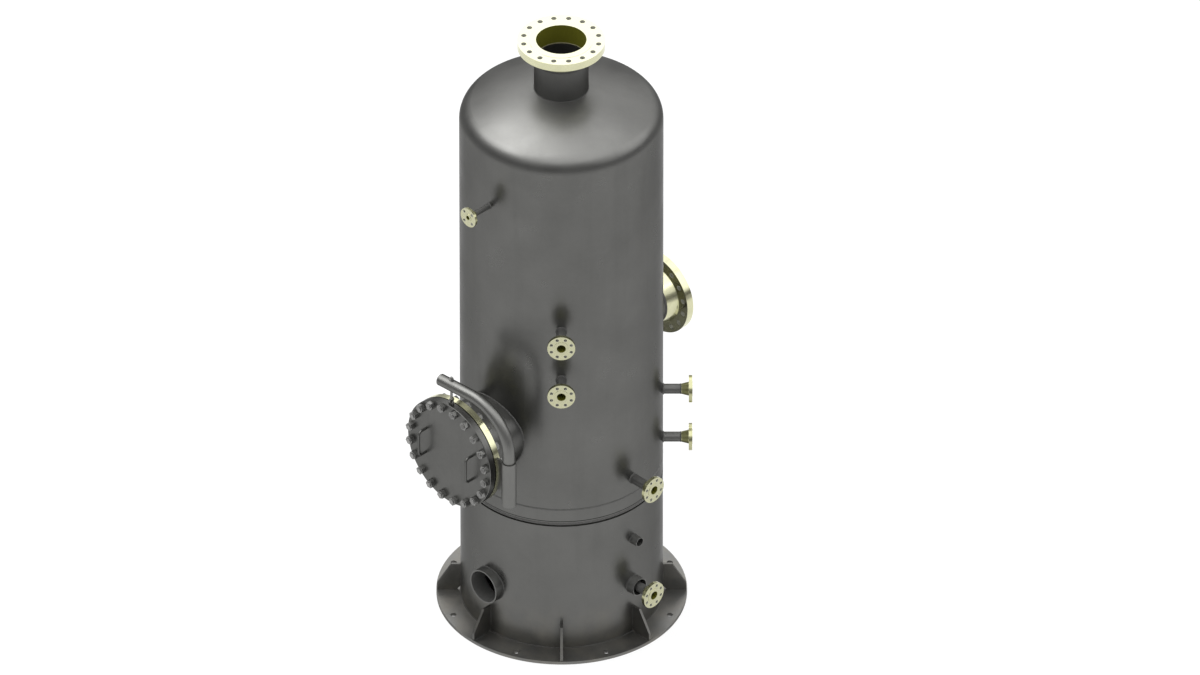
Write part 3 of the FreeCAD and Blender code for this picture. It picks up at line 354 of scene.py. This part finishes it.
def nut_finish(name="nut_steel"):
    colour = (0.215, 0.215, 0.208)
    finish = Finish(name, colour, 0.33, 0.8)
    tone = finish.blend(finish.span(finish.noise(40, 4), 0.3, 0.7), [c * 0.88 for c in colour],
                        [c * 1.08 for c in colour])
    tone = finish.blend(finish.span(finish.noise(150, 3), 0.58, 0.8, 0, 0.25), tone,
                        (0.14, 0.120, 0.10))
    worn = finish.math("MULTIPLY", finish.edges(0.0010),
                       finish.span(finish.noise(110, 3), 0.42, 0.62, 0, 0.35))
    tone = finish.blend(worn, tone, (0.42, 0.42, 0.40))
    return finish.done(tone, finish.span(finish.noise(55, 3), 0.3, 0.7, 0.28, 0.40),
                       finish.rise(finish.noise(420, 2), 0.04, 0.0004))


def gasket_finish():
    colour = (0.045, 0.045, 0.047)
    finish = Finish("gasket_sheet", colour, 0.7)
    tone = finish.blend(finish.noise(180, 3), [c * 0.7 for c in colour],
                        [c * 1.6 for c in colour])
    return finish.done(tone, finish.span(finish.noise(90, 2), 0.3, 0.7, 0.6, 0.8),
                       finish.rise(finish.noise(500, 2), 0.25, 0.0004))


def bare_steel(name="inner_steel"):
    colour = (0.40, 0.40, 0.395)
    finish = Finish(name, colour, 0.42, 0.9)
    tone = finish.blend(finish.span(finish.noise(6, 5), 0.3, 0.7), [c * 0.8 for c in colour],
                        [c * 1.1 for c in colour])
    tone = finish.blend(finish.span(finish.noise(28, 5), 0.55, 0.8, 0, 0.6), tone,
                        (0.17, 0.12, 0.09))
    return finish.done(tone, finish.span(finish.noise(17, 3), 0.3, 0.7, 0.34, 0.55),
                       finish.rise(finish.noise(240, 2), 0.12, 0.0006))


def mesh_finish():
    """Knitted wire: two crossing rows of loops, with painted shade in the gaps between them."""
    finish = Finish("knitted_wire", (0.5, 0.5, 0.5), 0.35, 0.9)
    across, along, up = finish.axes()
    loops = finish.math("SINE", finish.math("MULTIPLY", across, 2 * math.pi / 0.009))
    swing = finish.math("MULTIPLY", loops, 0.9)
    rows = finish.math("SINE", finish.math("ADD", swing, finish.math(
        "MULTIPLY", along, 2 * math.pi / 0.006)))
    layers = finish.math("SINE", finish.math("ADD", swing, finish.math(
        "MULTIPLY", up, 2 * math.pi / 0.005)))
    wire = finish.math("MAXIMUM", rows, finish.math("MULTIPLY", layers, 0.8))
    # Painted shade: the gaps between the wires are near-black.
    tone = finish.blend(finish.span(wire, 0.1, 0.75), (0.05, 0.05, 0.05), (0.52, 0.52, 0.53))
    return finish.done(tone, finish.span(finish.noise(50, 2), 0.3, 0.7, 0.28, 0.42),
                       finish.rise(wire, 0.7, 0.0012))


def bead_finish():
    """Coated weld bead: ripples along its own length, which is the map's first axis.
    Its coat is the drum's own, painted darker as shade, with painted shade and highlight
    across the ripples.
    """
    # The drum's own coat, painted darker as shade.
    colour = (0.076, 0.076, 0.073)
    finish = Finish("weld_bead", colour, 0.55, 0.30)
    length, across, rest = finish.axes(
        finish.add("ShaderNodeUVMap", {"uv_map": "bead"}).outputs["UV"])
    bow = finish.math("MULTIPLY", finish.math("COSINE", across), 1.6)
    phase = finish.math("ADD", bow, finish.math("MULTIPLY", length, 2 * math.pi / 0.0042))
    phase = finish.math("ADD", phase, finish.math("MULTIPLY", finish.noise(26, 2), 5.0))
    ripple = finish.math("SINE", phase)
    # Painted shade and highlight: darker and lighter across the ripples.
    tone = finish.blend(finish.span(ripple, -1, 1), [c * 0.82 for c in colour],
                        [c * 1.12 for c in colour])
    tone = finish.blend(finish.span(finish.noise(44, 3), 0.5, 0.8, 0, 0.5), tone,
                        (0.110, 0.106, 0.095))
    skin = finish.rise(ripple, 0.5, 0.0009)
    return finish.done(tone, finish.span(finish.noise(30, 3), 0.3, 0.7, 0.46, 0.6), skin)


# Weld beads

beads = bmesh.new()
SECTION = 10
ALONG, ACROSS = "along", "across"


def start_bead(width, height):
    """An oval section in the XZ plane, each point with its angle round the bead."""
    bead = bmesh.new()
    bead.verts.layers.float.new(ALONG)
    across = bead.verts.layers.float.new(ACROSS)
    bmesh.ops.create_circle(bead, cap_ends=False, segments=SECTION, radius=1.0)
    for vert in bead.verts:
        vert[across] = math.atan2(vert.co.y, vert.co.x)
        vert.co = Vector((vert.co.x * width, 0, vert.co.y * height))
    return bead


def finish_bead(bead, whole):
    """Lay the bead's map, its length along by its angle across, and add it to the others."""
    along = bead.verts.layers.float[ALONG]
    across = bead.verts.layers.float[ACROSS]
    bmesh.ops.recalc_face_normals(bead, faces=bead.faces)
    bead_map = bead.loops.layers.uv.new("bead")
    for face in bead.faces:
        longest = max(vert[along] for vert in face.verts)
        for loop in face.loops:
            length = loop.vert[along]
            if longest - length > whole / 2:
                length += whole
            loop[bead_map].uv = (length, loop.vert[across])
        face.smooth = True
    mesh = bpy.data.meshes.new("bead")
    bead.to_mesh(mesh)
    bead.free()
    beads.from_mesh(mesh)
    bpy.data.meshes.remove(mesh)


def round_bead(radius, width, height, place, reach=None):
    """A bead in a ring about its frame's Z axis; reach(x, y) lifts it on to what it joins."""
    bead = start_bead(width, height)
    bmesh.ops.translate(bead, verts=bead.verts, vec=(radius, 0, 0))
    steps = max(48, min(360, round(2 * math.pi * radius / 0.010)))
    bmesh.ops.spin(bead, geom=bead.verts[:] + bead.edges[:], cent=(0, 0, 0), axis=(0, 0, 1),
                   angle=2 * math.pi, steps=steps, use_merge=True)
    along = bead.verts.layers.float[ALONG]
    for vert in bead.verts:
        vert[along] = math.atan2(vert.co.y, vert.co.x) % (2 * math.pi) * radius
        if reach:
            vert.co.z += reach(vert.co.x, vert.co.y)
        vert.co = place @ vert.co
    finish_bead(bead, 2 * math.pi * radius)


def straight_bead(begin, end, radius, place=Matrix()):
    """A round bead along a straight line, closed at both ends."""
    begin, end = Vector(begin), Vector(end)
    run = end - begin
    bead = start_bead(radius, radius)
    bmesh.ops.rotate(bead, verts=bead.verts, cent=(0, 0, 0),
                     matrix=run.to_track_quat("Y", "Z").to_matrix())
    bmesh.ops.translate(bead, verts=bead.verts, vec=begin)
    steps = max(2, round(run.length / 0.02))
    bmesh.ops.spin(bead, geom=bead.verts[:] + bead.edges[:], cent=begin,
                   axis=run.normalized(), dvec=run / steps, angle=0.0, steps=steps)
    rims = [edge for edge in bead.edges if edge.is_boundary]
    bmesh.ops.holes_fill(bead, edges=rims, sides=SECTION)
    along = bead.verts.layers.float[ALONG]
    for vert in bead.verts:
        vert[along] = (vert.co - begin).dot(run.normalized())
        vert.co = place @ vert.co
    finish_bead(bead, math.inf)


def out_of_plate(plate_radius):
    """How far out a round plate's outside is, beside a nozzle's axis."""
    return lambda up, across: math.sqrt(plate_radius ** 2 - across ** 2)


def weld_nozzle(azimuth, level, pipe_radius, bead, plate_radius=VESSEL_R):
    """The saddle-shaped bead where a pipe leaves a round plate."""
    upright = Matrix.Rotation(math.radians(90), 4, "Y")
    place = on_azimuth(azimuth, level) @ upright
    round_bead(pipe_radius, bead, bead, place, out_of_plate(plate_radius))


def weld_pipe_end(azimuth, level, distance, pipe_radius, bead):
    """The flat bead where a pipe meets its flange."""
    upright = Matrix.Rotation(math.radians(90), 4, "Y")
    round_bead(pipe_radius, bead * 0.32, bead, on_azimuth(azimuth, level, distance) @ upright)


for name, (azimuth, level, face, pipe_radius, hub) in SIDE_NOZZLES.items():
    large = pipe_radius > 0.1
    if name != "drain":
        weld_nozzle(azimuth, level, pipe_radius, 0.010 if large else 0.0055)
    weld_pipe_end(azimuth, level, face - hub, pipe_radius, 0.009 if large else 0.0045)
weld_nozzle(*MANWAY, NECK_R, 0.005)
weld_nozzle(*ACCESS, ACCESS_R, 0.004)
weld_nozzle(*SLEEVE, SLEEVE_R, 0.003)
for azimuth in (315, 135):
    weld_nozzle(azimuth, VENT_LEVEL, SMALL_PIPE_R, 0.003)
round_bead(LARGE_PIPE_R, 0.003, 0.003,
           Matrix.Translation((0, 0, crown_level(LARGE_PIPE_R))))
round_bead(LARGE_PIPE_R, 0.003, 0.009,
           Matrix.Translation((0, 0, OUTLET_FACE - LARGE_FLANGE_LENGTH)))
round_bead(VESSEL_R, 0.0006, 0.006, Matrix.Translation((0, 0, SEAM_LOW)))
round_bead(VESSEL_R - 0.0065, 0.0070, 0.0130, Matrix.Translation((0, 0, JOINT_LEVEL)))
round_bead(VESSEL_R, 0.003, 0.003, Matrix.Translation((0, 0, BASE_TOP)))

GUSSET_HALF = 0.008
GUSSET_FOOT = (0.636, 0.738)
GUSSET_BACK = (0.050, 0.200)
for number in range(8):
    place = on_azimuth(45 * number, 0)
    for side in (-1, 1):
        across = side * GUSSET_HALF
        low, high = ((VESSEL_R - 0.0005, across, level) for level in GUSSET_BACK)
        straight_bead(low, high, 0.002, place)
        near, far = ((distance, across, BASE_TOP) for distance in GUSSET_FOOT)
        straight_bead(near, far, 0.002, place)

# Seams along the shell and the skirt, at the back.
straight_bead((VESSEL_R - 0.0035, 0, SEAM_LOW), (VESSEL_R - 0.0035, 0, SEAM_HIGH), 0.005,
              on_azimuth(110, 0))
straight_bead((VESSEL_R - 0.0035, 0, BASE_TOP + 0.005), (VESSEL_R - 0.0035, 0, SKIRT_TOP),
              0.005, on_azimuth(160, 0))

bead_mesh = bpy.data.meshes.new("welds")
beads.to_mesh(bead_mesh)
beads.free()
welds = bpy.data.objects.new("welds", bead_mesh)
scene.collection.objects.link(welds)
bead_mesh.materials.append(bead_finish())
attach(welds, "root")


# Finishes on the frame's own pieces

# The small flanges' coat where it differs from the large ones': the same pale yellow,
# painted darker as shade, with a rougher polish and a dull hub.
SMALL_FLANGE = {"colour": (0.445, 0.440, 0.262), "face_colour": (0.505, 0.500, 0.335),
                "polish": 0.17, "dull_shaded_hub": True}


def dress(name, material):
    item = nodes[name]
    item.data.materials.clear()
    item.data.materials.append(material)


# The dark coats here are all the drum's one paint. Painted light and shade: the davit, collars,
# sleeves, small pipes and base ring are painted lighter, the grips and cover darker.
coat = dark_coat("vessel_coat")
# The shell, skirt and top head coat, with painted light that makes the top head 1.30 times
# lighter.
plate_coat = dark_coat("plate_coat", wear=0.08, mottled=0.14, streaked=0.20, rim=0.44,
                       painted_head_light=1.30)
neck_coat = dark_coat("pipe_coat", colour=(0.130, 0.130, 0.125), roughness=0.32, wave=0.2,
                      grain=0.25, edge=0.0012)
davit_coat = dark_coat("davit_coat", colour=(0.175, 0.175, 0.168), roughness=0.37, wave=0.1,
                       grain=0.06, edge=0.0010, mottled=0.10)
grip_coat = dark_coat("grip_coat", colour=(0.120, 0.120, 0.115), roughness=0.42, wave=0.1,
                      grain=0.12, edge=0.0006)
cover_coat = dark_coat("cover_coat", colour=(0.127, 0.127, 0.122), roughness=0.33, wave=0.2,
                       grain=0.6)
collar_coat = dark_coat("collar_coat", colour=(0.190, 0.190, 0.183), roughness=0.42,
                        wave=0.1, grain=0.15, edge=0.0010, dust=0.3, wear=0.3, mottled=0.10)
small_pipe_coat = dark_coat("small_pipe_coat", colour=(0.150, 0.150, 0.145),
                            roughness=0.50, wave=0.1, grain=0.12, edge=0.0010, wear=0.3,
                            mottled=0.10)
inner = bare_steel()
for name in nodes:
    dress(name, coat)
for name in nodes:
    if name.endswith("_pipe"):
        dress(name, neck_coat if name.startswith("gas") else small_pipe_coat)
    if name.startswith("skirt_") or name.endswith("_sleeve"):
        dress(name, collar_coat)
    if name.startswith("davit"):
        dress(name, davit_coat)
    if "handle" in name:
        dress(name, grip_coat)
for name in ("manway_cover", "cover_lug", "manway_neck"):
    dress(name, cover_coat)
for name in ("shell", "skirt", "top_head"):
    dress(name, plate_coat)
dress("base_ring", dark_coat("base_coat", colour=(0.180, 0.180, 0.174), wear=0.12))
dress("skirt_access_collar", dark_coat(
    "access_collar_coat", colour=(0.160, 0.160, 0.154), roughness=0.40, wave=0.1, grain=0.15,
    edge=0.0010, dust=0.3, wear=0.2, mottled=0.10,
    bore=(on_azimuth(*ACCESS), ACCESS_BORE_R)))
# The bottom head has a band of painted shade just above its joint with the skirt.
dress("bottom_head", dark_coat("bottom_head_coat", wear=0.08, mottled=0.14,
                               streaked=0.20, rim=0.44, painted_crease=(0.9405, 0.9460)))
for name, (azimuth, level, face, pipe_radius, hub) in SIDE_NOZZLES.items():
    raised, bore, bolts = FLANGES[pipe_radius]
    shade = {} if pipe_radius > 0.1 else SMALL_FLANGE
    dress(f"{name}_flange", flange_coat(f"{name}_flange_coat", on_azimuth(azimuth, level),
                                        raised, bore, (face - hub, face), bolts, **shade))
upward = Matrix.Rotation(math.radians(-90), 4, "Y")
raised, bore, bolts = FLANGES[LARGE_PIPE_R]
dress("gas_outlet_flange", flange_coat("gas_outlet_flange_coat", upward, raised, bore,
                                       (OUTLET_FACE - LARGE_FLANGE_LENGTH, OUTLET_FACE), bolts))
dress("manway_flange", flange_coat("manway_flange_coat", on_azimuth(*MANWAY),
                                   MANWAY_RAISED_R, MANWAY_BORE_R))
dress("manway_gasket", gasket_finish())
dress("manway_studs", thread_finish("stud_thread", on_azimuth(*MANWAY), 0.0032))
for name in ("manway_nuts_front", "manway_nuts_back", "eye_bolt_nut", "cover_eye_bolt"):
    dress(name, nut_finish(f"{name}_steel"))
dress("mesh_pad", mesh_finish())
for name in ("pad_grid_lower", "pad_grid_upper", "pad_support_ring", "inlet_deflector",
             "vortex_breaker"):
    dress(name, inner)


# Floor, light and camera

FLOOR_HALF = 60.0
# Distances from the drum's axis at which the floor changes, and its tones there.
UNDER_RING, BESIDE_RING = 0.725, 0.750
FADE_FROM, FADE_TO = 7.6, 11.0
SHADED_TONE, OPEN_TONE = 0.55, 0.90
GLOW = 0.81
FAR_GLOW = 0.22

# The studio's panels: the way to each, the angles of its soft edge, its light.
PANELS = (
    ((0, 0, 1), 0, 180, 0.18),
    ((0, 0, 1), 40, 100, 0.42),
    ((-0.06, -0.12, 1.0), 40, 53, 1.40),
    ((-0.06, 0.78, 0.62), 9, 25, 0.90),
    ((-0.04, 0.87, 0.34), 10, 42, 0.28),
    ((0.90, 0.06, 0.46), 14, 27, 1.40),
    ((0.62, 0.66, 0.30), 8, 32, 0.80),
)


def stretch(tree, value, low, high, to_low, to_high):
    """A map range node from low and high to other bounds, held beyond them."""
    node = tree.nodes.new("ShaderNodeMapRange")
    for number, bound in zip((1, 2, 3, 4), (low, high, to_low, to_high)):
        node.inputs[number].default_value = bound
    tree.links.new(value, node.inputs["Value"])
    return node


def join(tree, operation, first, second):
    node = tree.nodes.new("ShaderNodeMath")
    node.operation = operation
    tree.links.new(first, node.inputs[0])
    tree.links.new(second, node.inputs[1])
    return node.outputs["Value"]


def plain_floor():
    """A plain pale floor that camera and reflections see white near the drum."""
    mesh = bpy.data.meshes.new("floor")
    shape = bmesh.new()
    bmesh.ops.create_grid(shape, x_segments=1, y_segments=1, size=FLOOR_HALF)
    shape.to_mesh(mesh)
    shape.free()
    floor = bpy.data.objects.new("floor", mesh)
    scene.collection.objects.link(floor)
    material = bpy.data.materials.new("pale_floor")
    material.use_nodes = True
    tree = material.node_tree
    paint = tree.nodes["Principled BSDF"]
    paint.inputs["Roughness"].default_value = 0.9
    paint.inputs["Specular IOR Level"].default_value = 0.1
    glow = tree.nodes.new("ShaderNodeEmission")
    rays = tree.nodes.new("ShaderNodeLightPath").outputs
    seen = join(tree, "MAXIMUM", rays["Is Camera Ray"], rays["Is Glossy Ray"])
    seen = join(tree, "MAXIMUM", seen, rays["Is Transmission Ray"])
    place = tree.nodes.new("ShaderNodeTexCoord")
    distance = tree.nodes.new("ShaderNodeVectorMath")
    distance.operation = "LENGTH"
    tree.links.new(place.outputs["Object"], distance.inputs[0])
    away = distance.outputs["Value"]
    fade = stretch(tree, away, FADE_FROM, FADE_TO, 1.0, FAR_GLOW)
    tree.links.new(fade.outputs["Result"], glow.inputs["Strength"])
    beside = stretch(tree, away, UNDER_RING, BESIDE_RING, 0.0, GLOW)
    tone = stretch(tree, away, UNDER_RING, BESIDE_RING, SHADED_TONE, OPEN_TONE)
    tree.links.new(tone.outputs["Result"], paint.inputs["Base Color"])
    share = join(tree, "MULTIPLY", seen, beside.outputs["Result"])
    mix = tree.nodes.new("ShaderNodeMixShader")
    tree.links.new(share, mix.inputs[0])
    tree.links.new(paint.outputs["BSDF"], mix.inputs[1])
    tree.links.new(glow.outputs["Emission"], mix.inputs[2])
    tree.links.new(mix.outputs["Shader"], tree.nodes["Material Output"].inputs["Surface"])
    mesh.materials.append(material)


def studio_sky():
    """A soft studio: dim at the horizon, with wide pale panels overhead, behind and beside."""
    world = bpy.data.worlds.new("studio")
    world.use_nodes = True
    scene.world = world
    tree = world.node_tree
    place = tree.nodes.new("ShaderNodeTexCoord").outputs["Generated"]

    def panel(way, inner, outer, level):
        """Light from a round panel; inner and outer are its edge's angles in degrees."""
        facing = tree.nodes.new("ShaderNodeVectorMath")
        facing.operation = "DOT_PRODUCT"
        facing.inputs[1].default_value = Vector(way).normalized()
        tree.links.new(place, facing.inputs[0])
        span = stretch(tree, facing.outputs["Value"], math.cos(math.radians(outer)),
                       math.cos(math.radians(inner)), 0.0, level)
        span.interpolation_type = "SMOOTHSTEP"
        return span.outputs["Result"]

    total = panel(*PANELS[0])
    for settings in PANELS[1:]:
        total = join(tree, "ADD", total, panel(*settings))
    tree.links.new(total, tree.nodes["Background"].inputs["Strength"])
    tree.nodes["Background"].inputs["Color"].default_value = (1, 1, 1, 1)


def soft_lamp(name, spot, aim, size, power):
    light = bpy.data.lights.new(name, "AREA")
    light.shape = "DISK"
    light.size = size
    light.energy = power
    lamp = bpy.data.objects.new(name, light)
    scene.collection.objects.link(lamp)
    lamp.location = spot
    lamp.rotation_euler = (Vector(aim) - Vector(spot)).to_track_quat("-Z", "Y").to_euler()


plain_floor()
studio_sky()
soft_lamp("key_light", (-4.9, 0.7, 10.6), (0, 0, 3.0), 8.8, 500)
soft_lamp("fill_light", (6.0, -4.0, 7.0), (0, 0, 1.8), 6.0, 60)

# The camera: a long lens at the elevation of an isometric view, aimed beside the axis.
LENS = 900.0
SENSOR = 36.0
ELEVATION = math.atan(1 / math.sqrt(2))
PIXELS_ACROSS = 1200
PIXEL = 5.955e-3
STEP_BACK = 0.8
AIM_RIGHT, AIM_UP = 0.229, 1.517
camera_data = bpy.data.cameras.new("camera")
camera_data.lens = LENS
camera_data.sensor_width = SENSOR
away = PIXELS_ACROSS * PIXEL / 2 / (SENSOR / 2 / LENS) + STEP_BACK
back = Vector((0, -math.cos(ELEVATION), math.sin(ELEVATION)))
up = Vector((0, math.sin(ELEVATION), math.cos(ELEVATION)))
aim = Vector((AIM_RIGHT, 0, 0)) + up * AIM_UP
camera = bpy.data.objects.new("camera", camera_data)
scene.collection.objects.link(camera)
camera.location = aim + back * away
camera.rotation_euler = (-back).to_track_quat("-Z", "Y").to_euler()
camera_data.clip_start = 1.0
camera_data.clip_end = away * 3
scene.camera = camera
scene.view_settings.view_transform = "Standard"
